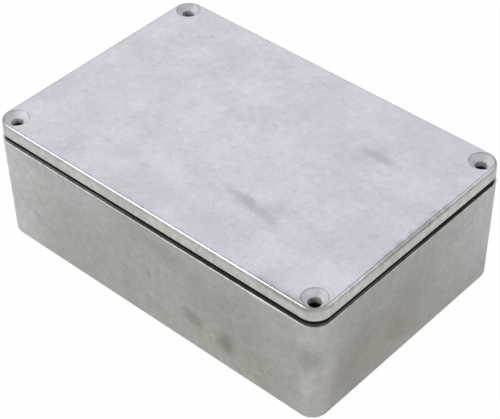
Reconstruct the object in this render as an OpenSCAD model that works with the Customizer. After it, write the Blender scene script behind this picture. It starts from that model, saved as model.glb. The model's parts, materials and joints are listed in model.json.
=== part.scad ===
// Die-cast aluminium box: a drafted body casting, a lid casting and a moulded seal between them.
// The origin is at the centre of the base. +X runs along the length, +Y along the width, +Z up.

/* [Overall] */
// Length of the body at its rim
box_length = 149.5; // [130:0.5:220]
// Width of the body at its rim
box_width = 100; // [84:1:160]
// Radius of the upright corners at the rim
corner_radius = 6.8; // [6.5:0.1:7.4]
// Draft of the casting's upright faces, in degrees
draft_angle = 1; // [0.5:0.1:2]

/* [Body] */
// Height of the body, from the base to the rim
body_height = 43.4; // [36:0.1:80]
// Thickness of the body's walls
wall_thickness = 3; // [2.9:0.1:3.4]
// Thickness of the body's floor
floor_thickness = 3; // [2.5:0.1:5]
// Radius round the outside of the base
base_radius = 0.9; // [0.4:0.1:1.5]
// Radius inside the body, where the walls meet the floor
floor_radius = 2; // [0.8:0.1:3]
// Radius on the outer edge of the rim
rim_radius = 0.35; // [0.2:0.05:0.5]
// Chamfer on the inner edge of the rim
rim_chamfer = 0.15; // [0.1:0.05:0.2]

/* [Lid] */
// Height of the lid's edge
lid_height = 5.3; // [4.6:0.1:8]
// Thickness of the lid's top plate
lid_plate = 2.8; // [2.4:0.1:3.2]
// Width of the lid's flange, round its underside
lid_flange = 5.3; // [5.1:0.1:5.4]
// Set-back of the lid's edge from the body's rim
lid_set_back = 0.3; // [0:0.05:0.4]
// Radius on the lid's top edge
lid_edge_radius = 1.05; // [0.5:0.05:1.5]
// Radius on the lid's lower edge
lid_lower_radius = 0.25; // [0.1:0.05:0.3]
// Radius under the lid, where the flange meets the plate
lid_inner_radius = 0.6; // [0.2:0.1:0.8]
// Thickness of the lip that locates the lid inside the body's walls
lip_thickness = 1.4; // [1:0.1:1.5]
// How far the lip reaches below the rim
lip_reach = 1.2; // [0.5:0.1:3]
// Clearance between the lip and the body's walls
lip_clearance = 0.4; // [0.3:0.05:0.5]

/* [Seal] */
// Gap between the rim and the lid, which the seal holds open
seal_gap = 2.3; // [1.6:0.1:2.6]
// Set-back of the seal's edge from the body's rim
seal_set_back = 0.6; // [0.4:0.1:0.7]
// Width of the seal's flange, which lies on the rim
seal_width = 2.15; // [2:0.05:2.2]
// Thickness of the seal's flange
seal_flange = 0.9; // [0.6:0.1:1.2]
// Width of the seal's bead, which enters the lid
bead_width = 1; // [0.8:0.05:1.1]
// Depth of the groove that takes the bead
groove_depth = 0.9; // [0.6:0.1:1.2]
// Clearance on each side of the bead in its groove
groove_clearance = 0.1; // [0.05:0.05:0.15]

/* [Screws] */
// Distance of each lid screw from the two nearest sides of the rim
screw_inset = 6; // [5.6:0.1:6.5]
// Diameter of the clearance holes in the lid
clearance_diameter = 4.6; // [4.3:0.1:4.9]
// Diameter of the countersinks at the lid's top face
countersink_diameter = 9; // [8:0.1:9.2]
// Full angle of the countersinks, in degrees
countersink_angle = 90; // [82:1:100]
// Diameter of the lid's bosses round the screws
lid_boss_diameter = 8.8; // [8:0.1:9.2]
// Diameter of the body's posts at the rim
post_diameter = 8.6; // [7.6:0.1:10]
// Diameter of the cored holes for thread-forming screws
cored_diameter = 3.7; // [3.3:0.1:3.8]
// Depth of the cored holes
cored_depth = 16; // [8:1:24]

/* [Board fixings] */
// Height of the guide ribs' ends below the rim
guide_drop = 7; // [4:1:16]
// How far the guide ribs stand out from the walls
guide_reach = 1.6; // [1:0.1:2.5]
// Thickness of each guide rib
guide_thickness = 1.5; // [1:0.1:2.5]
// Width of the slot between the two ribs of a pair
guide_slot = 1.9; // [1.6:0.1:2.6]
// Distance from one pair of guide ribs to the next
guide_pitch = 20; // [16:1:24]
// Pairs of guide ribs on each long wall
guide_pairs = 5; // [1:1:5]
// Distance between the floor bosses along the length
boss_spacing_x = 104; // [60:1:116]
// Distance between the floor bosses along the width
boss_spacing_y = 64; // [40:1:72]
// Height of the floor bosses
boss_height = 5; // [3:0.5:8]
// Diameter of the floor bosses at their tops
boss_diameter = 6.4; // [6:0.2:8]
// Diameter of the holes in the floor bosses
boss_hole_diameter = 2.6; // [2:0.1:3]

/* [Hidden] */

arc_steps = 6;
round_faces = 96;
hole_faces = 64;
overlap = 0.5;
cut_margin = 1;
drill_point_angle = 118;
post_draft_angle = 0.6;
lip_draft_angle = 4;
lid_draft_angle = 1;
guide_end_slope = 1;
bead_chamfer = 0.2;

run_x = box_length - 2 * corner_radius;
run_y = box_width - 2 * corner_radius;
screw_x = box_length / 2 - screw_inset;
screw_y = box_width / 2 - screw_inset;
draft = tan(draft_angle);
inner_radius = corner_radius - wall_thickness;
floor_corner = inner_radius - (body_height - floor_thickness) * draft;
floor_fillet = min(floor_radius, floor_corner - 0.2);

lid_bottom = body_height + seal_gap;
lid_top = lid_bottom + lid_height;
lid_roof = lid_top - lid_plate;
lid_radius = corner_radius - lid_set_back;
groove_roof = lid_bottom + groove_depth;
bead_inset = seal_set_back + (seal_width - bead_width) * 0.75;

// Points along an arc, from one direction to another.
function arc(x, y, r, from, to) =
    [for (i = [0 : arc_steps]) let (a = from + (to - from) * i / arc_steps)
        [x + r * cos(a), y + r * sin(a)]];

// Distance of the body's outer and inner faces from the corners' centre lines, at a height.
function outer_face(z) = corner_radius - (body_height - z) * draft;
function inner_face(z) = inner_radius - (body_height - z) * draft;

// The same for the lid's edge, which tapers the other way.
function lid_face(z) = lid_radius - (z - lid_bottom) * tan(lid_draft_angle);

// Carries a profile round the box. The profile's x is its distance from the corners' centre
// lines, and its y is the height.
module carried_round() {
    for (turn = [0, 180]) rotate([0, 0, turn]) {
        translate([run_x / 2, run_y / 2, 0]) {
            rotate([90, 0, 0]) linear_extrude(height = run_y) children();
            rotate_extrude(angle = 90, $fn = round_faces) children();
        }
        translate([-run_x / 2, run_y / 2, 0]) {
            rotate([90, 0, 90]) linear_extrude(height = run_x) children();
            rotate([0, 0, 90]) rotate_extrude(angle = 90, $fn = round_faces) children();
        }
    }
}

// The block between the corners' centre lines, which closes what is carried round.
module core(bottom, top) {
    translate([-run_x / 2, -run_y / 2, bottom]) cube([run_x, run_y, top - bottom]);
}

module at_screws() {
    for (x = [-screw_x, screw_x], y = [-screw_y, screw_y]) translate([x, y, 0]) children();
}

module outer_profile() {
    polygon(concat(
        [[0, 0]],
        arc(outer_face(base_radius) - base_radius / cos(draft_angle), base_radius,
            base_radius, -90, -draft_angle),
        arc(outer_face(body_height - rim_radius) - rim_radius / cos(draft_angle),
            body_height - rim_radius, rim_radius, -draft_angle, 90),
        [[0, body_height]]));
}

module cavity_profile() {
    fillet_z = floor_thickness + floor_fillet;
    polygon(concat(
        [[0, floor_thickness]],
        arc(inner_face(fillet_z) - floor_fillet / cos(draft_angle), fillet_z,
            floor_fillet, -90, -draft_angle),
        [[inner_face(body_height - rim_chamfer), body_height - rim_chamfer],
         [inner_radius + rim_chamfer, body_height],
         [inner_radius + rim_chamfer, body_height + cut_margin],
         [0, body_height + cut_margin]]));
}

// One post for a lid screw, wider towards the floor.
module post() {
    top_r = post_diameter / 2;
    cylinder(h = body_height, r1 = top_r + body_height * tan(post_draft_angle), r2 = top_r,
        $fn = hole_faces);
}

module cored_hole() {
    r = cored_diameter / 2;
    point = r / tan(drill_point_angle / 2);
    translate([0, 0, body_height - cored_depth]) {
        cylinder(h = cored_depth + cut_margin, r = r, $fn = hole_faces);
        translate([0, 0, -point]) cylinder(h = point, r1 = 0, r2 = r, $fn = hole_faces);
    }
}

// A pair of upright ribs on the +Y wall, with a slot between them for a board's edge.
module guide_pair() {
    top = body_height - guide_drop;
    for (side = [-1, 1])
        translate([side * (guide_slot + guide_thickness) / 2 - guide_thickness / 2,
                   run_y / 2, 0])
            rotate([90, 0, 90]) linear_extrude(height = guide_thickness)
                polygon([
                    [inner_face(0) - guide_reach, 0],
                    [inner_face(top) - guide_reach, top - guide_reach * guide_end_slope],
                    [inner_face(top), top],
                    [inner_face(top) + overlap, top],
                    [inner_face(top) + overlap, 0]]);
}

module guide_ribs() {
    for (turn = [0, 180], i = [0 : guide_pairs - 1])
        rotate([0, 0, turn])
            translate([(i - (guide_pairs - 1) / 2) * guide_pitch, 0, 0]) guide_pair();
}

module at_bosses() {
    for (x = [-1, 1], y = [-1, 1])
        translate([x * boss_spacing_x / 2, y * boss_spacing_y / 2, 0]) children();
}

module floor_boss() {
    top_r = boss_diameter / 2;
    h = floor_thickness + boss_height;
    cylinder(h = h, r1 = top_r + h * tan(post_draft_angle * 2), r2 = top_r, $fn = hole_faces);
}

module cavity() {
    difference() {
        union() {
            carried_round() cavity_profile();
            core(floor_thickness, body_height + cut_margin);
        }
        at_screws() post();
        guide_ribs();
        at_bosses() floor_boss();
    }
}

module box_body() {
    color([0.69, 0.69, 0.67]) difference() {
        union() {
            carried_round() outer_profile();
            core(0, body_height);
        }
        cavity();
        at_screws() cored_hole();
        at_bosses() translate([0, 0, floor_thickness + cut_margin / 2])
            cylinder(h = boss_height + cut_margin, d = boss_hole_diameter, $fn = hole_faces);
    }
}

// The seal is one moulding: a flat flange on the rim, with a bead that stands into the lid.
module seal_profile() {
    outer = corner_radius - seal_set_back;
    bead_outer = corner_radius - bead_inset;
    bead_inner = bead_outer - bead_width;
    flange_top = body_height + seal_flange;
    polygon([
        [outer - seal_width, body_height],
        [outer, body_height],
        [outer, flange_top],
        [bead_outer, flange_top],
        [bead_outer, groove_roof - bead_chamfer],
        [bead_outer - bead_chamfer, groove_roof],
        [bead_inner + bead_chamfer, groove_roof],
        [bead_inner, groove_roof - bead_chamfer],
        [bead_inner, flange_top],
        [outer - seal_width, flange_top]]);
}

module seal() {
    color([0.16, 0.16, 0.17]) carried_round() seal_profile();
}

module lid_profile() {
    flange_face = lid_radius - lid_flange;
    top_z = lid_top - lid_edge_radius;
    low_z = lid_bottom + lid_lower_radius;
    roof_z = lid_roof - lid_inner_radius;
    slope = cos(lid_draft_angle);
    polygon(concat(
        [[0, lid_roof]],
        arc(flange_face - lid_inner_radius, roof_z, lid_inner_radius, 90, 0),
        [[flange_face, lid_bottom]],
        arc(lid_face(low_z) - lid_lower_radius / slope, low_z, lid_lower_radius,
            -90, lid_draft_angle),
        arc(lid_face(top_z) - lid_edge_radius / slope, top_z, lid_edge_radius,
            lid_draft_angle, 90),
        [[0, lid_top]]));
}

// The groove in the lid's flange that takes the seal's bead.
module groove_profile() {
    outer = corner_radius - bead_inset + groove_clearance;
    translate([outer - bead_width - 2 * groove_clearance, lid_bottom - cut_margin])
        square([bead_width + 2 * groove_clearance, groove_depth + cut_margin]);
}

// One length of the lip, on the +Y side, between the posts.
module lip(span) {
    low = body_height - lip_reach;
    taper = (lid_bottom - low) * tan(lip_draft_angle);
    translate([-span / 2, 0, 0]) rotate([90, 0, 90]) linear_extrude(height = span)
        polygon([
            [-lip_thickness + taper, low],
            [-taper, low],
            [0, lid_bottom],
            [0, lid_bottom + overlap],
            [-lip_thickness, lid_bottom + overlap],
            [-lip_thickness, lid_bottom]]);
}

module lips() {
    lip_inset = wall_thickness + lip_clearance;
    post_span = 2 * (screw_inset + post_diameter / 2 + lip_clearance);
    for (turn = [0, 180]) rotate([0, 0, turn]) {
        translate([0, box_width / 2 - lip_inset, 0]) lip(box_length - post_span);
        rotate([0, 0, 90])
            translate([0, box_length / 2 - lip_inset, 0]) lip(box_width - post_span);
    }
}

module screw_hole() {
    hole_r = clearance_diameter / 2;
    sink_r = countersink_diameter / 2;
    slope = tan(countersink_angle / 2);
    translate([0, 0, lid_bottom - cut_margin])
        cylinder(h = lid_height + 2 * cut_margin, r = hole_r, $fn = hole_faces);
    translate([0, 0, lid_top - (sink_r - hole_r) / slope])
        cylinder(h = (sink_r - hole_r) / slope + cut_margin, r1 = hole_r,
            r2 = sink_r + cut_margin * slope, $fn = hole_faces);
}

module lid() {
    color([0.78, 0.78, 0.80]) difference() {
        union() {
            carried_round() lid_profile();
            core(lid_roof, lid_top);
            lips();
            at_screws() translate([0, 0, lid_bottom])
                cylinder(h = lid_height - lid_edge_radius - overlap, d = lid_boss_diameter,
                    $fn = hole_faces);
        }
        carried_round() groove_profile();
        at_screws() screw_hole();
    }
}

box_body();
seal();
lid();
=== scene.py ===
"""Die-cast aluminium box: two castings, the seal between them and a plain pale studio."""

import json
import math

import bmesh
import bpy
from bpy.props import FloatProperty, FloatVectorProperty, IntProperty, PointerProperty
from bpy.types import Operator, Panel, PropertyGroup
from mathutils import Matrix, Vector


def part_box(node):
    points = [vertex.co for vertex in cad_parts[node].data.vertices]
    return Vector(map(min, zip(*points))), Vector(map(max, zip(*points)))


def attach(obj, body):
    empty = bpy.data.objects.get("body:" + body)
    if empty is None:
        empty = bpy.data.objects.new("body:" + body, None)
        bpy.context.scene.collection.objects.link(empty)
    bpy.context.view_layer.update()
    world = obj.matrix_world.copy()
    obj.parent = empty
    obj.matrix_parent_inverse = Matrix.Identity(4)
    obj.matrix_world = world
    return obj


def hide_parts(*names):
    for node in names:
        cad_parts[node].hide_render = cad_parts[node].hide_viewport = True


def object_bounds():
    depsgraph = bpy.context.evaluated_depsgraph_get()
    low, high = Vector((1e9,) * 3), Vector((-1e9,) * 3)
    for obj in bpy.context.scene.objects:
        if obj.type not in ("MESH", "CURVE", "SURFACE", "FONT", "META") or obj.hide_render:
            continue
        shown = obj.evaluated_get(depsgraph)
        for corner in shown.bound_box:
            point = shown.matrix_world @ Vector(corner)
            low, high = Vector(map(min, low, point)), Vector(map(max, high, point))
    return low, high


bl_info = {
    "name": "Die-Cast Box",
    "version": (1, 0, 0),
    "blender": (4, 5, 0),
    "location": "3D View > Sidebar > Die-Cast Box",
    "description": "Builds a die-cast aluminium box with a sealed lid, and a studio for it",
    "category": "Object",
}

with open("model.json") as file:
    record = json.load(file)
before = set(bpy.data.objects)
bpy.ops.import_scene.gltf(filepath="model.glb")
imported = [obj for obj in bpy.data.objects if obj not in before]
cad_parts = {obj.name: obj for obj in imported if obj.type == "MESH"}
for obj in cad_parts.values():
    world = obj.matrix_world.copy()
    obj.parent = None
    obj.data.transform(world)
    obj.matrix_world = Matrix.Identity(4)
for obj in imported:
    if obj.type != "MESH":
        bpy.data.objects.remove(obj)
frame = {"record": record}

BODY = "root"
CAD_LOW, CAD_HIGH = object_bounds()
SCREWS = next(m for m in frame["record"]["mounts"] if m["name"] == "lid_screw_holes")
MM = 0.001
MERGE = 1e-6  # points closer than this are one point
OVER = 1.0 * MM  # how far a cutter reaches past what it cuts
FIRST_BAND = 0.02 * MM  # height of the upright band that drafted walls are drawn from
LEVEL = 0.99  # how much of a level face's normal runs along Z
SMOOTH_ANGLE = math.radians(32)  # edges that turn further stay sharp
QUARTER = math.pi / 2
SMALL_STEPS = 3  # faces across the smallest radii
VECTOR, FLOAT = "NodeSocketVector", "NodeSocketFloat"
WHITE = (1.0, 1.0, 1.0, 1.0)
MOTTLE_SCALE, SPECK_SCALE, PATCH_SCALE = 360.0, 260.0, 90.0  # sizes of patterns, per metre
SWELL_SCALE, STAIN_SCALE = 38.0, 170.0
PATTERN_RANGE = (0.30, 0.70)  # the usual range of a noise pattern
FLOOR_FADE = (0.17, 0.42)  # metres from the box's middle
SKY_RISE, SKY_FALL = (0.05, 0.45), (0.68, 0.88)  # heights on the sky, from 0 to 1


# ---------------- sizes and colours

def real(name, description, default, **how):
    """A plain number."""
    return FloatProperty(name=name, description=description, default=default, **how)


def length(name, description, default, least=0.0):
    """A size, given in mm and kept in metres."""
    return real(name, description, default * MM, min=least, unit="LENGTH",
                subtype="DISTANCE", precision=5)


def angle(name, description, degrees):
    """An angle, kept in radians."""
    return real(name, description, math.radians(degrees), unit="ROTATION", subtype="ANGLE")


def share(name, description, default):
    """A number from 0 to 1."""
    return real(name, description, default, min=0.0, max=1.0, subtype="FACTOR")


def power(name, description, default):
    """The power of a lamp."""
    return real(name, description, default, min=0.0, unit="POWER")


def count(name, description, default, least, most):
    """A whole number."""
    return IntProperty(name=name, description=description, default=default, min=least,
                       max=most)


def colour(name, description, default):
    """A linear colour."""
    return FloatVectorProperty(name=name, description=description, default=default, size=3,
                               min=0.0, max=1.0, subtype="COLOR")


class BoxSizes(PropertyGroup):
    """Sizes that both castings and the seal share."""

    corner_radius: length("Corner Radius", "Radius of the upright corners at the rim", 6.8)
    corner_steps: count("Corner Steps", "Faces round each corner", 14, 4, 48)
    hole_steps: count("Hole Steps", "Faces round each hole", 56, 16, 128)
    fillet_steps: count("Fillet Steps", "Faces across each small radius", 6, 2, 16)
    draft: angle("Draft", "Draft of the castings' upright faces", 1.0)
    wall: length("Wall", "Thickness of the body's walls", 3.0)
    floor: length("Floor", "Thickness of the body's floor", 3.0)
    base_radius: length("Base Radius", "Radius round the outside of the base", 0.9)
    floor_radius: length("Floor Radius", "Radius between the walls and the floor", 2.0)
    rim_radius: length("Rim Radius", "Radius on the outer edge of the rim", 0.35)
    rim_chamfer: length("Rim Chamfer", "Chamfer on the inner edge of the rim", 0.15)


class LidSizes(PropertyGroup):
    """Sizes of the lid, its holes and what locates it."""

    edge_radius: length("Edge Radius", "Radius on the lid's top edge", 1.05)
    lower_radius: length("Lower Radius", "Radius on the lid's lower edge", 0.25)
    plate: length("Plate", "Thickness of the top plate", 2.8)
    flange: length("Flange", "Width of the flange round the underside", 5.3)
    inner_radius: length("Inner Radius", "Radius between the flange and the plate", 0.6)
    groove_depth: length("Groove Depth", "Depth of the groove for the seal's bead", 0.9)
    groove_clearance: length("Groove Clearance", "Clearance beside the bead", 0.1)
    sink_radius: length("Countersink", "Radius of the countersinks at the top face", 4.5)
    sink_edge: length("Countersink Edge", "Radius on the countersinks' rims", 0.3)
    boss_radius: length("Boss Radius", "Radius of the bosses round the holes", 4.4)
    lip: length("Lip", "Thickness of the locating lip", 1.4)
    lip_clearance: length("Lip Clearance", "Clearance between the lip and the walls", 0.4)
    lip_taper: angle("Lip Taper", "Taper of the lip's two faces", 4.0)


class SealSizes(PropertyGroup):
    """Sizes of the moulded seal."""

    set_back: length("Set-Back", "Set-back of the seal's edge from the rim", 0.6)
    width: length("Width", "Width of the flange on the rim", 2.15)
    flange: length("Flange", "Thickness of the flange", 0.9)
    bead: length("Bead", "Width of the bead", 1.0)
    bead_side: share("Bead Side", "Where the bead stands, from the outer edge inwards", 0.75)
    bead_chamfer: length("Bead Chamfer", "Chamfer on the bead's top edges", 0.2)
    edge_radius: length("Edge Radius", "Radius on the flange's outer edges", 0.12)


class InsideSizes(PropertyGroup):
    """Sizes of the posts, guide ribs and bosses inside the body."""

    post_radius: length("Post Radius", "Radius of the screw posts at the rim", 4.3)
    post_draft: angle("Post Draft", "Draft of the screw posts", 0.6)
    cored_radius: length("Cored Radius", "Radius of the cored holes", 1.85)
    cored_depth: length("Cored Depth", "Depth of the cored holes", 16.0)
    guide_drop: length("Guide Drop", "Height of the ribs' ends below the rim", 7.0)
    guide_reach: length("Guide Reach", "How far the ribs stand out", 1.6)
    guide_rib: length("Guide Rib", "Thickness of each rib", 1.5)
    guide_slot: length("Guide Slot", "Width of the slot in each pair", 1.9)
    guide_pitch: length("Guide Pitch", "Distance between the pairs", 20.0)
    guide_pairs: count("Guide Pairs", "Pairs on each long wall", 5, 1, 5)
    boss_x: length("Boss Spacing X", "Distance between the bosses along the length", 104)
    boss_y: length("Boss Spacing Y", "Distance between the bosses along the width", 64)
    boss_height: length("Boss Height", "Height of the floor bosses", 5.0)
    boss_radius: length("Boss Radius", "Radius of the floor bosses", 3.2)
    boss_hole: length("Boss Hole", "Radius of the holes in the bosses", 1.3)


class FinishLook(PropertyGroup):
    """Colours and gloss of the castings and the seal."""

    lid_metal: colour("Lid Metal", "Colour of the lid's metal", (0.665, 0.665, 0.635))
    # Painted reflection: the bluish tint of the top face, which the countersinks take in part.
    lid_face_reflection: colour("Lid Face", "Colour of the lid's tumbled top face", (0.64, 0.634, 0.69))
    body_metal: colour("Body Metal", "Colour of the body's metal", (0.52, 0.52, 0.50))
    tarnish: colour("Tarnish", "Tint of the brownish tarnish", (0.80, 0.76, 0.68))
    # Also the tint of painted shade: the countersinks' rings and the band along the lid's right
    # edge.
    soot_and_shade: colour("Soot", "Tint of the dark stains", (0.62, 0.62, 0.58))
    rubber: colour("Rubber", "Colour of the seal", (0.022, 0.022, 0.022))
    # Also the painted light on the seal flange's side.
    dust: colour("Dust", "Colour of the dust on the seal", (0.20, 0.20, 0.205))
    lid_roughness: share("Lid Roughness", "Roughness of the lid's metal", 0.36)
    body_roughness: share("Body Roughness", "Roughness of the body's metal", 0.44)


class StudioLook(PropertyGroup):
    """Camera, lamps and floor."""

    azimuth: angle("Azimuth", "Camera's direction round the box", 42.44)
    elevation: angle("Elevation", "Camera's height above the horizon", 41.445)
    roll: angle("Roll", "Camera's roll", -0.91)
    distance: length("Distance", "Distance from the box's middle", 588.2)
    aim_across: length("Aim Across", "Sideways aim of the camera", 1.41, -1.0)
    aim_up: length("Aim Up", "Upward aim of the camera", -5.39, -1.0)
    lens: real("Lens", "Focal length for a 36 mm sensor", 118.7, min=10.0, unit="CAMERA")
    back_power: power("Back Lamp", "Power of the panel behind", 1.32)
    front_power: power("Front Lamp", "Power of the panel in front", 5.2)
    side_power: power("Side Lamp", "Power of the panel on the right", 1.2)
    horizon_light: share("Horizon Light", "Soft light at the horizon", 0.15)
    middle_light: share("Middle Light", "Soft light halfway up", 0.62)
    zenith_light: share("Zenith Light", "Soft light from above", 0.30)
    floor_tone: share("Floor Tone", "Lightness of the floor", 0.72)
    floor_glow: share("Floor Glow", "How white the floor looks in the metal near the box", 0.5)
    far_glow: share("Far Glow", "How white the far floor looks in the metal", 0.1)
    floor_white: share("Floor White", "How white the floor looks to the camera", 0.985)


SIZE_GROUPS = {
    "cast_box": BoxSizes,
    "cast_lid": LidSizes,
    "cast_seal": SealSizes,
    "cast_inside": InsideSizes,
    "cast_finish": FinishLook,
    "cast_studio": StudioLook,
}


# ---------------- modelling by hand

def deselect_all():
    """Leaves edit mode and selects nothing."""
    if bpy.context.object and bpy.context.object.mode != "OBJECT":
        bpy.ops.object.mode_set(mode="OBJECT")
    bpy.ops.object.select_all(action="DESELECT")


def make_active(piece):
    """Selects one piece alone."""
    deselect_all()
    piece.select_set(True)
    bpy.context.view_layer.objects.active = piece


def keep_primitive(name):
    """Names the primitive just added and puts its place into its mesh."""
    piece = bpy.context.object
    piece.name = name
    piece.data.name = name
    bpy.ops.object.transform_apply(location=True, rotation=True, scale=True)
    return piece


def edit(piece, kind, chosen="SELECT"):
    """Opens a piece in edit mode with all, or none, of it selected, and gives its mesh."""
    make_active(piece)
    bpy.ops.object.mode_set(mode="EDIT")
    bpy.ops.mesh.select_mode(type=kind)
    bpy.ops.mesh.select_all(action=chosen)
    return bmesh.from_edit_mesh(piece.data)


def draw_faces(piece, steps, faces_up):
    """Draws the level face that looks up, or down, through a list of (inward, along) steps."""
    mesh = edit(piece, "FACE", "DESELECT")
    mesh.normal_update()
    sign = 1.0 if faces_up else -1.0
    level = [f for f in mesh.faces if f.normal.z * sign > LEVEL]
    top = max(level, key=lambda f: f.calc_center_median().z * sign)
    top.select_set(True)
    bmesh.update_edit_mesh(piece.data)
    for inward, along in steps:
        if inward == 0:
            bpy.ops.mesh.extrude_region_move(
                TRANSFORM_OT_translate={"value": (0, 0, along * sign)})
        else:
            bpy.ops.mesh.inset(thickness=abs(inward), depth=along, use_outset=inward < 0,
                               use_even_offset=True, use_boundary=True)
    bpy.ops.object.mode_set(mode="OBJECT")


def arc_steps(radius, start, end, steps):
    """(inward, along) steps round an edge, from one slope to another. At slope 0 the surface
    runs straight along, and at a right angle it runs straight inwards."""
    turns = [start + (end - start) * i / steps for i in range(steps + 1)]
    points = [(radius * (1 - math.cos(t)), radius * math.sin(t)) for t in turns]
    return [(b[0] - a[0], b[1] - a[1]) for a, b in zip(points, points[1:])]


def closed_block(name, size_x, size_y, low, high, radius):
    """A rounded block about the Z axis, from one height to another."""
    deselect_all()
    bpy.ops.mesh.primitive_plane_add(size=1.0, location=(0, 0, low))
    bpy.context.object.scale = (size_x, size_y, 1.0)
    piece = keep_primitive(name)
    steps = bpy.context.scene.cast_box.corner_steps
    edit(piece, "FACE")
    bpy.ops.mesh.bevel(offset=radius, offset_type="OFFSET", segments=steps, affect="VERTICES")
    bpy.ops.mesh.select_all(action="SELECT")
    bpy.ops.mesh.normals_make_consistent(inside=False)
    bpy.ops.mesh.extrude_region_move(TRANSFORM_OT_translate={"value": (0, 0, high - low)})
    bpy.ops.mesh.select_all(action="SELECT")
    bpy.ops.mesh.normals_make_consistent(inside=False)
    bpy.ops.object.mode_set(mode="OBJECT")
    return piece


def add_post(name, low, high, radius, draft=0.0):
    """An upright round post about the Z axis, which grows downwards with its draft."""
    deselect_all()
    steps = bpy.context.scene.cast_box.hole_steps
    foot = radius + math.tan(draft) * (high - low)
    bpy.ops.mesh.primitive_cone_add(vertices=steps, radius1=foot, radius2=radius,
                                    depth=high - low, location=(0, 0, (low + high) / 2))
    return keep_primitive(name)


def add_bar(name, low, high):
    """A straight bar between two corners."""
    deselect_all()
    bpy.ops.mesh.primitive_cube_add(size=1.0, location=(low + high) / 2)
    bpy.context.object.scale = high - low
    return keep_primitive(name)


def move_corners(piece, chosen, value):
    """Moves the corners that a test chooses by their place."""
    mesh = edit(piece, "VERT", "DESELECT")
    for corner in mesh.verts:
        corner.select_set(chosen(corner.co))
    mesh.select_flush(True)
    bmesh.update_edit_mesh(piece.data)
    bpy.ops.transform.translate(value=value)
    bpy.ops.object.mode_set(mode="OBJECT")


def copy_to(piece, places=((0, 0),), turns=(0,)):
    """Copies a shape to each (x, y) place, and each place to each turn about the Z axis, in
    degrees. Each copy has its own mesh, and the first shape goes."""
    copies = []
    for x, y in places:
        for turn in turns:
            make_active(piece)
            bpy.ops.object.duplicate()
            bpy.ops.transform.translate(value=(x, y, 0))
            bpy.ops.transform.rotate(value=math.radians(turn), orient_axis="Z",
                                     center_override=(0, 0, 0))
            bpy.ops.object.transform_apply(location=True, rotation=True, scale=True)
            copies.append(bpy.context.object)
    bpy.data.objects.remove(piece)
    return copies


def combine(piece, tools, operation):
    """Cuts, or adds, each tool by a Boolean modifier, applies it and deletes the tool."""
    for tool in tools:
        make_active(piece)
        step = piece.modifiers.new(operation.title(), "BOOLEAN")
        step.operation = operation
        step.object = tool
        step.solver = "EXACT"
        bpy.ops.object.modifier_apply(modifier=step.name)
        bpy.data.objects.remove(tool)
    return piece


def four_corners(across, along):
    """The corners of a rectangle about the Z axis."""
    return [(sx * across / 2, sy * along / 2) for sx in (-1, 1) for sy in (-1, 1)]


def at_screws():
    """The four places of the lid's screws: left, back, front and right."""
    dims = SCREWS["dims"]
    return four_corners(dims["spacing_x_mm"] * MM, dims["spacing_y_mm"] * MM)


def finish_piece(piece, material, node):
    """Cleans and shades a piece, and lets it stand for its CAD node."""
    piece.data.materials.append(material)
    edit(piece, "FACE")
    bpy.ops.mesh.remove_doubles(threshold=MERGE)
    bpy.ops.mesh.normals_make_consistent(inside=False)
    bpy.ops.object.mode_set(mode="OBJECT")
    bpy.ops.object.shade_smooth_by_angle(angle=SMOOTH_ANGLE)
    weigh = piece.modifiers.new("Flat Faces", "WEIGHTED_NORMAL")
    weigh.keep_sharp = True
    weigh.weight = 100
    bpy.ops.object.modifier_apply(modifier=weigh.name)
    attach(piece, BODY)
    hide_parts(node)


# ---------------- shader groups

def feed(tree, socket, value):
    """Links another socket to an input, or sets the input to a number, vector or colour."""
    if isinstance(value, bpy.types.NodeSocket):
        tree.links.new(value, socket)
    else:
        socket.default_value = value


def new_group(name, inputs, outputs):
    """A shader node group: (name, type, default) rows for inputs, and names of outputs."""
    group = bpy.data.node_groups.new(name, "ShaderNodeTree")
    for title, kind, default in inputs:
        socket = group.interface.new_socket(title, in_out="INPUT", socket_type=kind)
        if default is not None:
            socket.default_value = default
    for title in outputs:
        group.interface.new_socket(title, in_out="OUTPUT", socket_type=FLOAT)
    return group, group.nodes.new("NodeGroupInput"), group.nodes.new("NodeGroupOutput")


def add_node(tree, kind, **values):
    """Adds a node and feeds its inputs, which are named with _ for each space."""
    node = tree.nodes.new("ShaderNode" + kind)
    for title, value in values.items():
        feed(tree, node.inputs[title.replace("_", " ")], value)
    return node


def add_math(tree, operation, *values, clamp=False):
    """A Math node whose values are sockets or numbers."""
    node = tree.nodes.new("ShaderNodeMath")
    node.operation = operation
    node.use_clamp = clamp
    for socket, value in zip(node.inputs, values):
        feed(tree, socket, value)
    return node.outputs[0]


def times(tree, a, b):
    """The product of two sockets or numbers."""
    return add_math(tree, "MULTIPLY", a, b)


def rest_of(tree, mask):
    """What a mask leaves."""
    return add_math(tree, "SUBTRACT", 1.0, mask)


def add_ramp(tree, value, low, high, to_low=0.0, to_high=1.0, smooth=True):
    """A Map Range node."""
    node = add_node(tree, "MapRange", Value=value, From_Min=low, From_Max=high,
                    To_Min=to_low, To_Max=to_high)
    node.interpolation_type = "SMOOTHSTEP" if smooth else "LINEAR"
    return node.outputs["Result"]


def add_band(tree, value, rise, full, fall, end):
    """Rises from 0 to 1, stays there, and falls back to 0, along a value."""
    return times(tree, add_ramp(tree, value, rise, full),
                 add_ramp(tree, value, fall, end, 1.0, 0.0))


def add_noise(tree, vector, scale, detail=3.0, roughness=0.5, distortion=0.0):
    """A Noise texture read at a vector."""
    node = add_node(tree, "TexNoise", Vector=vector, Scale=scale, Detail=detail,
                    Roughness=roughness, Distortion=distortion)
    return node.outputs["Fac"]


def mix_colour(tree, factor, a, b, blend="MIX"):
    """A Mix Color node; each input is a socket, a number or a colour."""
    node = tree.nodes.new("ShaderNodeMix")
    node.data_type = "RGBA"
    node.blend_type = blend
    for socket, value in ((node.inputs["Factor"], factor), (node.inputs[6], a),
                          (node.inputs[7], b)):
        feed(tree, socket, (*value, 1.0) if isinstance(value, tuple) else value)
    return node.outputs[2]


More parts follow.
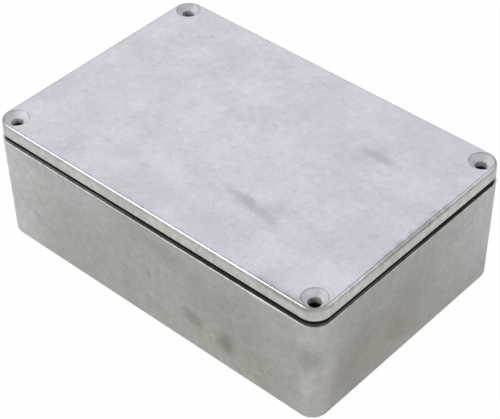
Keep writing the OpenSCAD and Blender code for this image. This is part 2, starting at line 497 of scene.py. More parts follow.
def tinted(tree, mask, colour_now, tint):
    """Multiplies a colour by a tint where a mask is 1. A tint above 1 lightens."""
    return mix_colour(tree, mask, colour_now, tint, "MULTIPLY")


def height_of(tree, place):
    """Height on the piece."""
    return add_node(tree, "SeparateXYZ", Vector=place).outputs["Z"]


def distance_of(tree, vector):
    """Distance from the origin."""
    node = add_node(tree, "VectorMath", Vector=vector)
    node.operation = "LENGTH"
    return node.outputs["Value"]


def cast_skin_group():
    """The skin of a casting: fine grain, soft mottling, wide clouds and small dark specks."""
    group, given, result = new_group(
        "Cast Skin",
        [("Position", VECTOR, None), ("Grain Scale", FLOAT, 2400.0),
         ("Cloud Scale", FLOAT, 55.0)],
        ["Grain", "Mottle", "Clouds", "Specks", "Height"])
    place = given.outputs["Position"]
    grain = add_noise(group, place, given.outputs["Grain Scale"], 4, 0.65)
    mottle = add_noise(group, place, MOTTLE_SCALE, 2, 0.5, 0.3)
    clouds = add_noise(group, place, given.outputs["Cloud Scale"], 5, 0.55, 0.6)
    cells = add_node(group, "TexVoronoi", Vector=place, Scale=SPECK_SCALE)
    patchy = add_ramp(group, add_noise(group, place, PATCH_SCALE, 2), 0.55, 0.68)
    dots = add_ramp(group, cells.outputs["Distance"], 0.06, 0.16, 1.0, 0.0)
    swell = add_noise(group, place, SWELL_SCALE, 1)
    height = add_math(group, "ADD", times(group, grain, 0.3),
                      add_math(group, "ADD", swell, times(group, mottle, 0.3)))
    for title, value in (("Grain", grain), ("Mottle", mottle), ("Clouds", clouds),
                         ("Specks", times(group, dots, patchy)), ("Height", height)):
        group.links.new(value, result.inputs[title])
    return group


def smudge_group():
    """One soft stain: an oval at a place on the piece, turned and broken up by noise."""
    group, given, result = new_group(
        "Smudge",
        [("Position", VECTOR, None), ("Centre", VECTOR, (0, 0, 0)), ("Turn", VECTOR, (0, 0, 0)),
         ("Size", VECTOR, (1, 1, 1)), ("Strength", FLOAT, 1.0), ("Broken", FLOAT, 1.2)],
        ["Mask"])
    ask = given.outputs
    move = add_node(group, "Mapping", Vector=ask["Position"], Location=ask["Centre"],
                    Rotation=ask["Turn"], Scale=ask["Size"])
    move.vector_type = "TEXTURE"
    noise = add_noise(group, ask["Position"], STAIN_SCALE, 4, 0.6, 0.4)
    rough = times(group, add_math(group, "SUBTRACT", noise, 0.5), ask["Broken"])
    reach = add_math(group, "ADD", distance_of(group, move.outputs["Vector"]), rough)
    mask = add_ramp(group, reach, 0.1, 1.1, 1.0, 0.0)
    group.links.new(add_math(group, "MULTIPLY", mask, ask["Strength"], clamp=True),
                    result.inputs["Mask"])
    return group


def screw_hole_group():
    """How far a point is from the axis of the nearest lid screw."""
    group, given, result = new_group("Screw Hole", [("Position", VECTOR, None)], ["Distance"])
    parts = add_node(group, "SeparateXYZ", Vector=given.outputs["Position"])
    legs = []
    for title, centre in zip("XY", at_screws()[-1]):
        leg = add_math(group, "SUBTRACT", add_math(group, "ABSOLUTE", parts.outputs[title]),
                       centre)
        legs.append(times(group, leg, leg))
    group.links.new(add_math(group, "SQRT", add_math(group, "ADD", *legs)),
                    result.inputs["Distance"])
    return group


GROUP_MAKERS = {"Cast Skin": cast_skin_group, "Smudge": smudge_group,
                "Screw Hole": screw_hole_group}


def use_group(tree, name, **values):
    """Places a shared group in a material, making the group the first time."""
    node = tree.nodes.new("ShaderNodeGroup")
    node.node_tree = bpy.data.node_groups.get(name) or GROUP_MAKERS[name]()
    for title, value in values.items():
        feed(tree, node.inputs[title.replace("_", " ")], value)
    return node


# ---------------- finishes

def new_material(name):
    """An empty node material with its shader, its output and Object coordinates."""
    material = bpy.data.materials.new(name)
    material.use_nodes = True
    tree = material.node_tree
    tree.nodes.clear()
    shader = tree.nodes.new("ShaderNodeBsdfPrincipled")
    output = tree.nodes.new("ShaderNodeOutputMaterial")
    tree.links.new(shader.outputs["BSDF"], output.inputs["Surface"])
    place = tree.nodes.new("ShaderNodeTexCoord").outputs["Object"]
    return material, tree, shader, place


def finish_shader(tree, shader, skin, surface, roughness, bump, strength):
    """Links a colour and a roughness to the shader, and the skin's height to its bump."""
    node = add_node(tree, "Bump", Strength=strength, Distance=bump,
                    Height=skin.outputs["Height"])
    for title, value in (("Base Color", surface), ("Roughness", roughness),
                         ("Normal", node.outputs["Normal"])):
        tree.links.new(value, shader.inputs[title])


def vary(tree, skin, title, low, high, smooth=True):
    """One of the skin's patterns, spread from low to high."""
    return add_ramp(tree, skin.outputs[title], *PATTERN_RANGE, low, high, smooth)


def metal_tone(tree, skin, grain, mottle, clouds):
    """Tone of cast metal, from the ranges over which its three patterns spread."""
    fine = times(tree, vary(tree, skin, "Grain", *grain, False),
                 vary(tree, skin, "Mottle", *mottle, False))
    return times(tree, fine, vary(tree, skin, "Clouds", *clouds))


def smudge(tree, place, centre, size, strength, broken, turn=(0, 0, 0)):
    """The mask of one stain: centre and size in mm, and its turn in degrees."""
    node = use_group(tree, "Smudge", Position=place, Centre=[c * MM for c in centre],
                     Size=[c * MM for c in size], Turn=[math.radians(c) for c in turn],
                     Strength=strength, Broken=broken)
    return node.outputs["Mask"]


def add_stains(tree, place, colour_now, stains):
    """Tints a colour by a list of stains, each a tint and what smudge takes."""
    for tint, *shape in stains:
        colour_now = tinted(tree, smudge(tree, place, *shape), colour_now, tint)
    return colour_now


def lid_stains(soot_and_shade):
    """Smudges, pale patches of painted light, a band of painted shade and a scratch: on the top
    face, then on the edges and sides.
    """
    beige, haze = (0.98, 1.0, 0.94), (0.63, 0.625, 0.635)
    pale, paler = (1.12, 1.12, 1.13), (1.13, 1.13, 1.14)
    return (
        (haze, (24, -24.3, 51), (17, 3.4, 4), 0.60, 0.6, (0, 0, -8)),
        (haze, (34, -21, 51), (7, 4.5, 4), 0.22, 1.2, (0, 0, 20)),
        (beige, (31, -18.5, 51), (4, 3, 4), 0.6, 1.0),
        (beige, (49, -21, 51), (4, 3, 4), 0.8, 1.0, (0, 0, 30)),
        (haze, (41.5, 22.7, 51), (11, 2.8, 4), 0.50, 0.7, (0, 0, -1)),
        (haze, (36, 20, 51), (20, 12, 4), 0.12, 1.0, (0, 0, -11)),
        (soot_and_shade, (5, 36, 51), (9, 15, 4), 0.12, 1.0, (0, 0, 20)),
        (soot_and_shade, (-40, -20, 51), (14, 8, 4), 0.10, 1.2, (0, 0, 25)),
        (soot_and_shade, (57, 8, 51), (8, 0.25, 4), 0.30, 0.2, (0, 0, 27)),
        ((0.98, 1.0, 0.965), (-30, -46, 51), (34, 5, 4), 0.6, 0.8),
        # Painted light: the pale patches at the top face's corners and left end, and on the
        # right-hand side.
        (paler, (-66, -42, 51), (22, 16, 8), 0.7, 0.8),
        (pale, (66, -34, 51), (17, 22, 8), 0.7, 0.8),
        ((1.08, 1.08, 1.08), (-60, 2, 51), (18, 9, 4), 0.6, 1.0),
        (soot_and_shade, (62, -50, 50.6), (22, 4, 2.2), 0.9, 1.8),
        # Painted shade: a dark band along the right-hand top edge.
        (soot_and_shade, (75, 0, 50.6), (3, 44, 1.6), 1.0, 2.0),
        (soot_and_shade, (30, -50, 48), (14, 4, 4), 0.18, 0.8),
        (pale, (75, 28, 48), (4, 34, 4), 0.9, 0.6),
        ((1.10, 1.10, 1.10), (75, -22, 48), (4, 14, 4), 0.9, 0.6),
    )


def body_stains(soot_and_shade, tarnish):
    """Pale patches of painted light, and dark, greenish and reddish stains: on the front wall,
    the corner and the side.
    """
    green, rust, light = (0.96, 0.97, 0.865), (0.93, 0.865, 0.81), (1.36, 1.36, 1.42)
    return (
        # Painted light: the pale tints lighten the left end, the upper front wall, the front
        # corner and the back of the right wall.
        (light, (-80, -50, 14), (36, 12, 66), 0.95, 0.25),
        ((1.16, 1.16, 1.19), (-46, -50, 40), (42, 8, 17), 0.8, 0.4),
        (soot_and_shade, (10, -50, 36), (14, 6, 6), 0.32, 1.3, (0, 8, 0)),
        (soot_and_shade, (0, -50, 22), (2.2, 4, 2.4), 0.50, 0.8),
        (soot_and_shade, (20, -50, 14), (6, 5, 4.5), 0.65, 1.0, (0, 15, 0)),
        ((0.66, 0.66, 0.64), (35, -50, 12), (6.0, 5, 7.6), 0.95, 0.25, (0, 10, 0)),
        (green, (5, -50, 7), (9, 5, 5), 0.7, 1.2),
        (green, (27, -50, 9), (14, 5, 7), 0.9, 1.0),
        ((0.90, 0.90, 0.83), (48, -50, 11), (16, 5, 14), 0.9, 0.8),
        (soot_and_shade, (36, -50, 26), (24, 5, 18), 0.22, 1.0),
        # Painted highlight and wear: a pale stretch of the front rim.
        (light, (50, -50, 43.3), (13, 4, 1.6), 1.0, 0.3),
        ((0.68, 0.68, 0.66), (71, -49, 27.5), (6.5, 8, 8), 0.68, 0.5),
        ((1.24, 1.24, 1.24), (75, -50, 24), (13, 15, 60), 0.85, 0.6),
        (soot_and_shade, (75, -28, 22), (5, 12, 34), 0.25, 1.0, (-20, 0, 0)),
        (rust, (75, -22, 13), (6, 38, 19), 0.78, 0.6),
        (soot_and_shade, (75, -1, 26), (5, 17, 18), 0.24, 1.2),
        (tarnish, (75, -6, 12), (5, 14, 7), 0.45, 1.0, (-30, 0, 0)),
        ((1.26, 1.26, 1.31), (75, 46, 34), (8, 34, 40), 0.9, 0.6),
    )


def mark_holes(tree, place, skin, hole, metal, soot_and_shade, tarnish):
    """A ring of painted shade round each countersink, spots in the bores, painted shade deep in
    the bores, and tarnish in one.
    """
    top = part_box("lid")[1].z
    # Painted shade: a dark ring round each countersink's rim.
    ring = add_band(tree, hole, 4.25 * MM, 4.5 * MM, 4.6 * MM, 4.8 * MM)
    metal = tinted(tree, times(tree, ring, 0.75), metal, soot_and_shade)
    bore = add_ramp(tree, hole, 2.35 * MM, 2.6 * MM, 1.0, 0.0)
    spots = add_ramp(tree, skin.outputs["Mottle"], 0.40, 0.56, 0.9, 0.1)
    metal = tinted(tree, times(tree, bore, spots), metal, soot_and_shade)
    back, front = [(x / MM, y / MM) for x, y in at_screws()[1:3]]
    # Painted shade: the bores turn nearly black below about 4 mm deep, except the back one.
    back_bore_unshaded = smudge(tree, place, (*back, top / MM), (20, 20, 20), 1.0, 0.0)
    shallow = add_ramp(tree, height_of(tree, place), top - 4.8 * MM, top - 3.8 * MM)
    clear = add_math(tree, "MAXIMUM", back_bore_unshaded, shallow)
    painted_bore_shade = times(tree, bore, rest_of(tree, clear))
    metal = tinted(tree, painted_bore_shade, metal, (0.05, 0.05, 0.045))
    dirty = smudge(tree, place, (*front, top / MM - 4), (9, 9, 9), 0.9, 0.6)
    return tinted(tree, times(tree, dirty, bore), metal, tarnish)


def lid_finish():
    """The lid's satin metal: a top face tinted bluish as painted reflection, cast sides,
    smudges, a scratch, and painted light and shade at the edges and countersinks.
    """
    look = bpy.context.scene.cast_finish
    soot_and_shade, tarnish = tuple(look.soot_and_shade), tuple(look.tarnish)
    material, tree, shader, place = new_material("Lid casting")
    skin = use_group(tree, "Cast Skin", Position=place, Grain_Scale=2600.0, Cloud_Scale=42.0)
    hole = use_group(tree, "Screw Hole", Position=place).outputs["Distance"]
    height = height_of(tree, place)
    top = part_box("lid")[1].z
    face = add_ramp(tree, height, top - 0.9 * MM, top - 0.1 * MM)
    side = rest_of(tree, face)
    sink = add_ramp(tree, hole, 4.1 * MM, 4.6 * MM, 1.0, 0.0)
    # Painted reflection: the top face, and the countersinks in part, take the bluish top-face
    # tint.
    reflection_tinted = add_math(tree, "MAXIMUM", face, times(tree, sink, 0.7))
    metal = mix_colour(tree, reflection_tinted, tuple(look.lid_metal), tuple(look.lid_face_reflection))
    tone = metal_tone(tree, skin, (0.86, 1.12), (0.90, 1.10), (0.93, 1.05))
    rough_cast = times(tree, vary(tree, skin, "Mottle", -0.04, 0.04, False), side)
    metal = tinted(tree, 1.0, metal, add_math(tree, "ADD", tone, rough_cast))
    greenish = times(tree, side, add_ramp(tree, skin.outputs["Clouds"], 0.45, 0.62, 0.0, 0.8))
    metal = tinted(tree, greenish, metal, (0.99, 1.0, 0.955))
    metal = add_stains(tree, place, metal, lid_stains(soot_and_shade))
    # Painted light: the countersinks are lightened by 1.18.
    metal = tinted(tree, sink, metal, (1.18, 1.18, 1.18))
    # Painted shade: a darker band on the lid's sides, just below and into the top edge's
    # rounding.
    foot = add_band(tree, height, top - 1.7 * MM, top - 1.4 * MM, top - 1.0 * MM,
                    top - 0.75 * MM)
    metal = tinted(tree, times(tree, foot, rest_of(tree, sink)), metal, (0.84, 0.84, 0.84))
    metal = mark_holes(tree, place, skin, hole, metal, soot_and_shade, tarnish)
    metal = tinted(tree, times(tree, skin.outputs["Specks"], 0.35), metal, soot_and_shade)
    tree.links.new(add_ramp(tree, hole, 4.2 * MM, 4.6 * MM, 0.35, 0.92),
                   shader.inputs["Metallic"])
    cone = add_ramp(tree, hole, 4.2 * MM, 4.6 * MM, 0.36, 0.0)
    satin = vary(tree, skin, "Mottle", look.lid_roughness - 0.04, look.lid_roughness + 0.04)
    finish_shader(tree, shader, skin, metal, add_math(tree, "ADD", satin, cone), 0.06 * MM, 0.3)
    return material


def body_finish():
    """The body's as-cast metal: cloudy, mottled, stained, with pale patches of painted light
    and a rim lightened by painted highlight and wear.
    """
    look = bpy.context.scene.cast_finish
    soot_and_shade, tarnish = tuple(look.soot_and_shade), tuple(look.tarnish)
    material, tree, shader, place = new_material("Body casting")
    skin = use_group(tree, "Cast Skin", Position=place, Grain_Scale=2300.0, Cloud_Scale=48.0)
    mottle, clouds = skin.outputs["Mottle"], skin.outputs["Clouds"]
    tone = metal_tone(tree, skin, (0.87, 1.11), (0.91, 1.09), (0.92, 1.07))
    metal = tinted(tree, 1.0, tuple(look.body_metal), tone)
    metal = tinted(tree, add_ramp(tree, clouds, 0.45, 0.72, 0.0, 0.35), metal, tarnish)
    metal = add_stains(tree, place, metal, body_stains(soot_and_shade, tarnish))
    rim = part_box("box_body")[1].z
    # Painted highlight and wear: the rim's outer edge is lightened in broken patches.
    worn_and_highlit = times(tree, add_ramp(tree, mottle, 0.40, 0.58, 0.35, 1.0),
                   add_ramp(tree, clouds, 0.42, 0.60, 0.35, 1.0))
    edge = add_ramp(tree, height_of(tree, place), rim - 0.9 * MM, rim - 0.4 * MM)
    metal = tinted(tree, times(tree, worn_and_highlit, edge), metal, (1.16, 1.16, 1.17))
    metal = tinted(tree, times(tree, skin.outputs["Specks"], 0.5), metal, soot_and_shade)
    shader.inputs["Metallic"].default_value = 0.9
    satin = vary(tree, skin, "Mottle", look.body_roughness - 0.04, look.body_roughness + 0.05)
    finish_shader(tree, shader, skin, metal, satin, 0.08 * MM, 0.35)
    return material


def seal_finish():
    """Matt dark elastomer, with dust and painted light along part of its flange's side, and its
    top kept black as painted shade.
    """
    look = bpy.context.scene.cast_finish
    material, tree, shader, place = new_material("Seal elastomer")
    skin = use_group(tree, "Cast Skin", Position=place, Grain_Scale=2200.0, Cloud_Scale=90.0)
    dust_and_light_patches = add_math(tree, "MAXIMUM",
                     smudge(tree, place, (-60, -50, 44), (90, 30, 20), 0.9, 0.8),
                     smudge(tree, place, (75, -30, 44), (10, 50, 20), 0.6, 1.0))
    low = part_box("seal")[0].z
    # Dust and painted light: only the flange's outer side turns grey, and its top under the lid
    # stays black as painted shade.
    thick = bpy.context.scene.cast_seal.flange
    side = add_ramp(tree, height_of(tree, place), low + 0.75 * thick, low + 0.97 * thick, 1.0,
                    0.0)
    dust_and_lit_side = times(tree, times(tree, dust_and_light_patches, side),
                    add_ramp(tree, skin.outputs["Clouds"], 0.3, 0.6, 0.5, 1.0))
    rubber = mix_colour(tree, dust_and_lit_side, tuple(look.rubber), tuple(look.dust))
    rubber = tinted(tree, 1.0, rubber, vary(tree, skin, "Mottle", 0.8, 1.25))
    shader.inputs["Specular IOR Level"].default_value = 0.3
    finish_shader(tree, shader, skin, rubber, vary(tree, skin, "Grain", 0.75, 0.92), 0.03 * MM,
                  0.3)
    return material


# ---------------- the pieces

class OBJECT_OT_cast_body(Operator):
    """Models the body casting: drafted walls, posts, guide ribs and floor bosses"""

    bl_idname = "object.cast_body"
    bl_label = "Body Casting"

    def execute(self, context):
        box, inside = context.scene.cast_box, context.scene.cast_inside
        low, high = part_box("box_body")
        size = high - low
        shell = self.outer_shell(box, size)
        combine(shell, [self.hollow(box, inside, size)], "DIFFERENCE")
        combine(shell, self.holes(box, inside, size.z), "DIFFERENCE")
        finish_piece(shell, body_finish(), "box_body")
        return {"FINISHED"}

    def outer_shell(self, box, size):
        """The outside: widest at the rim, drawn down to the base."""
        slope = math.tan(box.draft)
        top = size.z - box.rim_radius
        shrink = slope * box.rim_radius
        piece = closed_block("body_casting", size.x - 2 * shrink, size.y - 2 * shrink,
                             top - FIRST_BAND, top, box.corner_radius - shrink)
        draw_faces(piece, arc_steps(box.rim_radius, 0.0, QUARTER, box.fillet_steps), True)
        drop = top - box.base_radius * (1 - math.sin(box.draft))
        draw_faces(piece, [(slope * drop, drop - FIRST_BAND)]
                   + arc_steps(box.base_radius, box.draft, QUARTER, box.fillet_steps), False)
        return piece

    def hollow(self, box, inside, size):
        """The space inside, less the posts, ribs and bosses that stand in it."""
        rim = size.z
        inner_x, inner_y = size.x - 2 * box.wall, size.y - 2 * box.wall
        flare = box.rim_chamfer
        piece = closed_block("hollow", inner_x + 2 * flare, inner_y + 2 * flare, rim,
                             rim + OVER, box.corner_radius - box.wall + flare)
        drop = rim - flare - box.floor - box.floor_radius * (1 - math.sin(box.draft))
        draw_faces(piece, [(flare, flare), (math.tan(box.draft) * drop, drop)]
                   + arc_steps(box.floor_radius, box.draft, QUARTER, box.fillet_steps), False)
        post = add_post("post", -OVER, rim + OVER,
                        inside.post_radius - math.tan(inside.post_draft) * OVER,
                        inside.post_draft)
        boss = add_post("boss", 0.0, box.floor + inside.boss_height, inside.boss_radius,
                        2 * inside.post_draft)
        kept = (copy_to(post, at_screws()) + copy_to(boss, self.at_bosses(inside))
                + self.ribs(box, inside, rim, inner_y / 2))
        return combine(piece, kept, "DIFFERENCE")

    def ribs(self, box, inside, rim, wall):
        """The guide ribs of both long walls, copied from one that follows the wall's draft."""
        slope = math.tan(box.draft)
        top = rim - inside.guide_drop
        bury = 0.6 * MM
        wall_top = wall - (rim - top) * slope
        half = inside.guide_rib / 2
        rib = add_bar("guide", Vector((-half, wall_top - inside.guide_reach, -bury)),
                      Vector((half, wall_top + bury, top)))
        move_corners(rib, lambda c: c.y < wall_top and c.z > 0, (0, 0, -inside.guide_reach))
        move_corners(rib, lambda c: c.y < wall_top and c.z < 0, (0, -top * slope, 0))
        aside = (inside.guide_slot + inside.guide_rib) / 2
        middle = (inside.guide_pairs - 1) / 2
        places = [((i - middle) * inside.guide_pitch + side * aside, 0)
                  for i in range(inside.guide_pairs) for side in (-1, 1)]
        return copy_to(rib, places, (0, 180))

    def at_bosses(self, inside):
        """The four places of the floor bosses."""
        return four_corners(inside.boss_x, inside.boss_y)

    def holes(self, box, inside, rim):
        """Cutters for the cored holes and the floor bosses' holes."""
        cored = add_post("cored", rim - inside.cored_depth, rim + OVER, inside.cored_radius)
        low = box.floor + 0.5 * MM
        hole = add_post("boss_hole", low, low + inside.boss_height + OVER, inside.boss_hole)
        return copy_to(cored, at_screws()) + copy_to(hole, self.at_bosses(inside))


class OBJECT_OT_cast_lid(Operator):
    """Models the lid casting: rounded edges, countersunk holes, flange, groove and lip"""

    bl_idname = "object.cast_lid"
    bl_label = "Lid Casting"

    def execute(self, context):
        box, lid, seal = (context.scene.cast_box, context.scene.cast_lid,
                          context.scene.cast_seal)
        low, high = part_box("lid")
        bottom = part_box("seal")[1].z - lid.groove_depth
        set_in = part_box("box_body")[1].x - high.x
        radius = box.corner_radius - set_in
        plate = self.plate(box, lid, high, bottom, radius)
        self.groove(plate, lid, seal, set_in)
        combine(plate, [self.recess(box, lid, high, bottom, radius)], "DIFFERENCE")
        combine(plate, self.lips(box, lid, low.z, bottom), "UNION")
        combine(plate, self.screw_holes(lid, high.z, bottom), "DIFFERENCE")
        finish_piece(plate, lid_finish(), "lid")
        return {"FINISHED"}

    def plate(self, box, lid, high, bottom, radius):
        """The outside of the lid, with its sides drafted and both edges rounded."""
        start = bottom + lid.lower_radius
        rise = high.z - lid.edge_radius * (1 - math.sin(box.draft)) - start
        piece = closed_block("lid_casting", 2 * high.x, 2 * high.y, start, start + FIRST_BAND,
                             radius)
        draw_faces(piece, [(math.tan(box.draft) * rise, rise - FIRST_BAND)]
                   + arc_steps(lid.edge_radius, box.draft, QUARTER, box.fillet_steps), True)
        draw_faces(piece, arc_steps(lid.lower_radius, 0.0, QUARTER, SMALL_STEPS), False)
        return piece

    def groove(self, piece, lid, seal, set_in):
        """Draws the groove for the seal's bead into the flange."""
        bead = seal.set_back + (seal.width - seal.bead) * seal.bead_side
        to_groove = bead - lid.groove_clearance - set_in - lid.lower_radius
        draw_faces(piece, [(to_groove, 0.0), (0.0, -lid.groove_depth),
                           (seal.bead + 2 * lid.groove_clearance, 0.0),
                           (0.0, lid.groove_depth)], False)

    def recess(self, box, lid, high, bottom, radius):
        """The space under the plate, inside the flange, less the screw bosses."""
        piece = closed_block("recess", 2 * (high.x - lid.flange), 2 * (high.y - lid.flange),
                             bottom - OVER, high.z - lid.plate - lid.inner_radius,
                             radius - lid.flange)
        draw_faces(piece, arc_steps(lid.inner_radius, 0.0, QUARTER, box.fillet_steps), True)
        boss = add_post("lid_boss", bottom - 2 * OVER, high.z, lid.boss_radius)
        return combine(piece, copy_to(boss, at_screws()), "DIFFERENCE")

    def lips(self, box, lid, low, bottom):
        """The four lengths of lip that locate the lid between the posts."""
        body_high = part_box("box_body")[1]
        short = bpy.context.scene.cast_inside.post_radius + lid.lip_clearance
        back = box.wall + lid.lip_clearance
        screw_x, screw_y = at_screws()[-1]
        long_lip = self.lip(lid, screw_x - short, body_high.y - back, low, bottom)
        end_lip = self.lip(lid, screw_y - short, body_high.x - back, low, bottom)
        return copy_to(long_lip, turns=(0, 180)) + copy_to(end_lip, turns=(90, 270))

    def lip(self, lid, half, edge, low, bottom):
        """One length of lip, with both its faces tapered towards its lower edge."""
        taper = (bottom - low) * math.tan(lid.lip_taper)
        middle = edge - lid.lip / 2
        lip = add_bar("lip", Vector((-half, edge - lid.lip, low)),
                      Vector((half, edge, bottom + 0.5 * MM)))
        move_corners(lip, lambda c: c.z < bottom and c.y > middle, (0, -taper, 0))
        move_corners(lip, lambda c: c.z < bottom and c.y < middle, (0, taper, 0))
        return lip

    def screw_holes(self, lid, top, bottom):
        """Cutters for the countersunk holes, with a small radius round each rim."""
        hole = SCREWS["dims"]["hole_r_mm"] * MM
        turn = math.radians(45)
        mouth = lid.sink_radius + lid.sink_edge * (math.sin(turn) + math.cos(turn) - 1)
        cutter = add_post("screw_hole", top, top + OVER, mouth)
        rim = [(down, inward) for inward, down in arc_steps(lid.sink_edge, 0.0, turn, 4)]
        cone = mouth - sum(step[0] for step in rim) - hole
        straight = top - bottom - cone - sum(step[1] for step in rim) + OVER
        draw_faces(cutter, rim + [(cone, cone), (0.0, straight)], False)
        return copy_to(cutter, at_screws())


class OBJECT_OT_cast_seal(Operator):
    """Models the seal: a flange on the rim, with a bead that stands into the lid"""

    bl_idname = "object.cast_seal"
    bl_label = "Seal"

    def execute(self, context):
        low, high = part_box("seal")
        ring = self.ring(context.scene.cast_box, context.scene.cast_seal, low, high)
        self.open_middle(ring, low.z)
        finish_piece(ring, seal_finish(), "seal")
        return {"FINISHED"}

    def ring(self, box, seal, low, high):
        """Draws the flange's top in to the bead and over it, and its underside in to meet."""
        edge = seal.edge_radius
        piece = closed_block("seal_moulding", high.x - low.x, high.y - low.y, low.z + edge,
                             low.z + seal.flange - edge, box.corner_radius - seal.set_back)
        bead_in = (seal.width - seal.bead) * seal.bead_side
        rise = high.z - low.z - seal.flange
        c = seal.bead_chamfer
        over = [(bead_in - edge, 0.0), (0.0, rise - c), (c, c), (seal.bead - 2 * c, 0.0),
                (c, -c), (0.0, c - rise), (seal.width - bead_in - seal.bead, 0.0),
                (0.0, -seal.flange)]
        round_edge = arc_steps(edge, 0.0, QUARTER, SMALL_STEPS)
        draw_faces(piece, round_edge + over, True)
        draw_faces(piece, round_edge + [(seal.width - edge, 0.0)], False)
        return piece

    def open_middle(self, piece, height):
        """Deletes the two faces that meet in the middle, so that their edges join."""
        mesh = edit(piece, "FACE", "DESELECT")
        level = [f for f in mesh.faces if abs(f.calc_center_median().z - height) < MERGE
                 and len(f.verts) > 4]
        for face in level:
            face.select_set(True)
        bmesh.update_edit_mesh(piece.data)
        bpy.ops.mesh.delete(type="FACE")
        bpy.ops.mesh.select_all(action="SELECT")
        bpy.ops.mesh.remove_doubles(threshold=MERGE)
        bpy.ops.object.mode_set(mode="OBJECT")


# ---------------- the studio

def show_white(tree, lit, white, to_camera, in_mirrors):
    """Shows white in place of what is lit: to the camera, and in mirrors and glass."""
    rays = tree.nodes.new("ShaderNodeLightPath")
    mirrored = add_math(tree, "MAXIMUM", rays.outputs["Is Glossy Ray"],
                        rays.outputs["Is Transmission Ray"])
    seen = add_math(tree, "ADD", times(tree, rays.outputs["Is Camera Ray"], to_camera),
                    times(tree, mirrored, in_mirrors))
    blend = tree.nodes.new("ShaderNodeMixShader")
    for socket, value in zip(blend.inputs, (seen, lit, white)):
        tree.links.new(value, socket)
    output = next(n for n in tree.nodes if n.type.startswith("OUTPUT"))
    tree.links.new(blend.outputs["Shader"], output.inputs["Surface"])


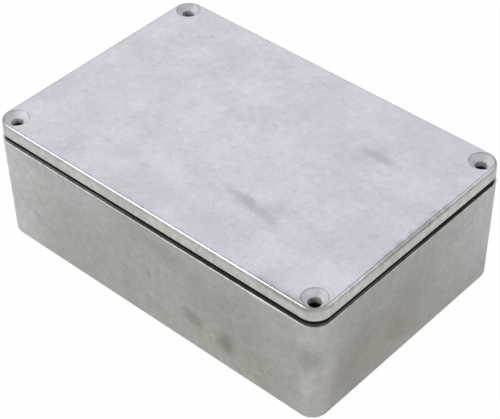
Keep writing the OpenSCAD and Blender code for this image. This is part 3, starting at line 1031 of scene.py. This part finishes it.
class SCENE_OT_cast_studio(Operator):
    """Makes the floor, the soft light and the camera"""

    bl_idname = "scene.cast_studio"
    bl_label = "Studio"

    def execute(self, context):
        studio = context.scene.cast_studio
        self.camera(context, studio)
        self.floor(studio)
        self.world(context, studio)
        self.lamps(studio)
        context.scene.view_settings.view_transform = "Standard"
        return {"FINISHED"}

    def camera(self, context, studio):
        """Looks down at the box's near corner."""
        a, e, r = studio.azimuth, studio.elevation, studio.roll
        back = Vector((math.sin(a) * math.cos(e), -math.cos(a) * math.cos(e), math.sin(e)))
        across = Vector((math.cos(a), math.sin(a), 0.0))
        up = back.cross(across)
        right = across * math.cos(r) + up * math.sin(r)
        top = up * math.cos(r) - across * math.sin(r)
        middle = (CAD_LOW + CAD_HIGH) / 2
        deselect_all()
        bpy.ops.object.camera_add()
        camera = context.object
        camera.name = "Camera"
        camera.location = (middle + back * studio.distance + right * studio.aim_across
                           + top * studio.aim_up)
        turn = camera.rotation_euler.to_matrix()
        turn.col[0], turn.col[1], turn.col[2] = right, top, back
        camera.rotation_euler = turn.to_euler()
        camera.data.sensor_width = 36.0
        camera.data.lens = studio.lens
        camera.data.clip_start, camera.data.clip_end = 0.01, 20.0
        context.scene.camera = camera

    def floor(self, studio):
        """A wide pale floor, which looks white and keeps the box's shadow."""
        deselect_all()
        bpy.ops.mesh.primitive_plane_add(size=6.0, location=(0, 0, CAD_LOW.z - 0.0002))
        floor = keep_primitive("floor")
        material, tree, shader, place = new_material("Floor")
        shader.inputs["Base Color"].default_value = (studio.floor_tone,) * 3 + (1.0,)
        shader.inputs["Roughness"].default_value = 0.9
        glow = add_node(tree, "Emission", Color=WHITE)
        fade = add_ramp(tree, distance_of(tree, place), *FLOOR_FADE, studio.floor_glow,
                        studio.far_glow)
        show_white(tree, shader.outputs["BSDF"], glow.outputs["Emission"], studio.floor_white,
                   fade)
        floor.data.materials.append(material)

    def world(self, context, studio):
        """Soft light, dim at the horizon, and white where the camera looks past the floor."""
        world = bpy.data.worlds.new("Studio")
        context.scene.world = world
        world.use_nodes = True
        tree = world.node_tree
        tree.nodes.clear()
        tree.nodes.new("ShaderNodeOutputWorld")
        up = height_of(tree, tree.nodes.new("ShaderNodeTexCoord").outputs["Generated"])
        rise = add_ramp(tree, up, *SKY_RISE, studio.horizon_light, studio.middle_light)
        fall = add_ramp(tree, up, *SKY_FALL, 0.0, studio.middle_light - studio.zenith_light)
        soft = add_node(tree, "Background", Color=(0.98, 0.98, 1.0, 1.0),
                        Strength=add_math(tree, "SUBTRACT", rise, fall))
        white = add_node(tree, "Background", Color=WHITE)
        show_white(tree, soft.outputs["Background"], white.outputs["Background"], 1.0,
                   studio.far_glow)

    def lamps(self, studio):
        """Three soft panels: behind on the left, in front on the left, and on the right."""
        self.panel("Back panel", (-0.55, 0.60, 0.75), 0.9, 0.9, studio.back_power)
        self.panel("Front panel", (-0.56, -0.86, 0.78), 0.55, 0.42, studio.front_power)
        self.panel("Side panel", (0.85, 0.70, 0.62), 0.5, 0.3, studio.side_power)

    def panel(self, name, place, width, height, power):
        """A rectangular lamp that faces the box."""
        deselect_all()
        bpy.ops.object.light_add(type="AREA", location=place)
        lamp = bpy.context.object
        lamp.name = name
        lamp.data.shape = "RECTANGLE"
        lamp.data.size, lamp.data.size_y = width, height
        lamp.data.energy = power
        aim = Vector(place) - (CAD_LOW + CAD_HIGH) / 2
        lamp.rotation_euler = aim.to_track_quat("Z", "Y").to_euler()


class VIEW3D_PT_cast_box(Panel):
    """Lists the steps that build the box and its studio."""

    bl_idname = "VIEW3D_PT_cast_box"
    bl_label = "Die-Cast Box"
    bl_space_type = "VIEW_3D"
    bl_region_type = "UI"
    bl_category = "Die-Cast Box"

    def draw(self, context):
        layout = self.layout
        for step in STEPS:
            layout.operator(step.bl_idname)
        for name in SIZE_GROUPS:
            column = layout.column(align=True)
            group = getattr(context.scene, name)
            for title in group.bl_rna.properties.keys():
                if title not in {"rna_type", "name"}:
                    column.prop(group, title)


STEPS = (OBJECT_OT_cast_body, OBJECT_OT_cast_seal, OBJECT_OT_cast_lid, SCENE_OT_cast_studio)


def register():
    """Adds the classes, and the sizes and looks that the scene keeps."""
    for item in (*SIZE_GROUPS.values(), *STEPS, VIEW3D_PT_cast_box):
        bpy.utils.register_class(item)
    for name, group in SIZE_GROUPS.items():
        setattr(bpy.types.Scene, name, PointerProperty(type=group))


def unregister():
    """Removes what register added."""
    for name in SIZE_GROUPS:
        delattr(bpy.types.Scene, name)
    for item in (VIEW3D_PT_cast_box, *reversed(STEPS), *SIZE_GROUPS.values()):
        bpy.utils.unregister_class(item)


def main():
    """Builds everything in order."""
    register()
    bpy.ops.object.cast_body()
    bpy.ops.object.cast_seal()
    bpy.ops.object.cast_lid()
    bpy.ops.scene.cast_studio()
    deselect_all()


if __name__ == "__main__":
    main()
